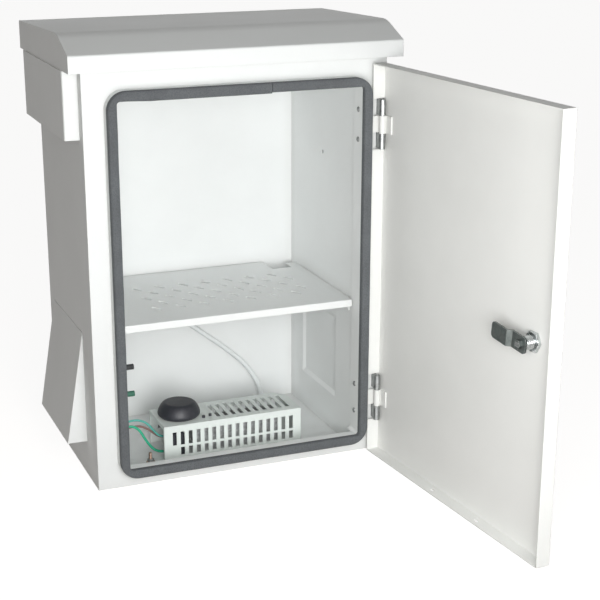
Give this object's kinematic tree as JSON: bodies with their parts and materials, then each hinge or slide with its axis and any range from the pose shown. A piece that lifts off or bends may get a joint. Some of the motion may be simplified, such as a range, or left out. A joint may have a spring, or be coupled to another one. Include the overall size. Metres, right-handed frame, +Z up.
{
  "type": "roadside utility cabinet",
  "caption": "Small outdoor sheet steel cabinet with sloped canopy roof, side vent hood and cowls, hinged door on a foam seal, perforated shelf and guarded heater.",
  "frame": {"origin": "centre of the four fixing holes in the base, on the ground", "axes": "+X to the right seen from the front, +Y to the back, +Z up"},
  "size_m": [0.4559, 0.656, 0.5805],
  "materials": {
    "body_paint": "satin powder coat",
    "door_paint": "satin powder coat",
    "guard_paint": "satin powder coat",
    "foam_seal": "matt foam",
    "zinc": "zinc plated",
    "steel": "zinc plated",
    "lock_chrome": "plated",
    "filter_foam": "matt fibre",
    "black_plastic": "matt",
    "black_rubber": "matt",
    "green_rubber": "matt",
    "heater_aluminium": "extruded",
    "stud_brass": "dull",
    "white_sheath": "smooth",
    "green_sheath": "smooth",
    "teal_sheath": "smooth",
    "brown_sheath": "smooth"
  },
  "bodies": {
    "cabinet": {"outer_shell": "body_paint", "front_frame": "body_paint", "door_seal": "foam_seal", "roof_canopy": "body_paint", "left_vent_hood": "body_paint", "left_intake_cowl": "body_paint", "right_intake_cowl": "body_paint", "left_inner_wall": "body_paint", "right_inner_wall": "body_paint", "left_filter_frame": "zinc", "left_filter_mat": "filter_foam", "right_filter_frame": "zinc", "right_filter_mat": "filter_foam", "shelf": "body_paint", "shelf_bracket_left": "body_paint", "shelf_bracket_right": "body_paint", "cable_bar": "body_paint", "upper_cable_sleeve": "black_rubber", "lower_cable_sleeve": "green_rubber", "supply_sleeve": "black_rubber", "lead_grommet": "black_rubber", "heater_guard": "guard_paint", "guard_sleeve": "black_rubber", "guard_screws": "black_plastic", "heater_element": "heater_aluminium", "control_cap": "black_plastic", "terminal_block": "black_plastic", "earth_stud": "stud_brass", "earth_nut": "steel", "floor_grommets": "black_rubber", "supply_cable": "white_sheath", "green_lead": "green_sheath", "teal_lead": "teal_sheath", "brown_lead": "brown_sheath", "upper_hinge_frame_leaf": "zinc", "lower_hinge_frame_leaf": "zinc", "upper_hinge_pin": "steel", "lower_hinge_pin": "steel", "hinge_screws": "steel"},
    "door": {"door_panel": "door_paint", "upper_hinge_door_leaf": "door_paint", "lower_hinge_door_leaf": "door_paint", "lock_housing": "lock_chrome", "lock_nut": "lock_chrome"},
    "latch": {"lock_core": "lock_chrome", "lock_cam": "lock_chrome", "cam_nut": "lock_chrome"}
  },
  "joints": [
    {"name": "door_swing", "type": "hinge", "parent": "cabinet", "child": "door", "pos_m": [0.189, -0.1317, 0.265], "axis": [0, 0, 1], "range_deg": [-95, 20]},
    {"name": "latch_turn", "type": "hinge", "parent": "door", "child": "latch", "pos_m": [0.20767, -0.46785, 0.26], "axis": [0.9962, 0.0872, 0], "range_deg": [-6, 174]}
  ]
}
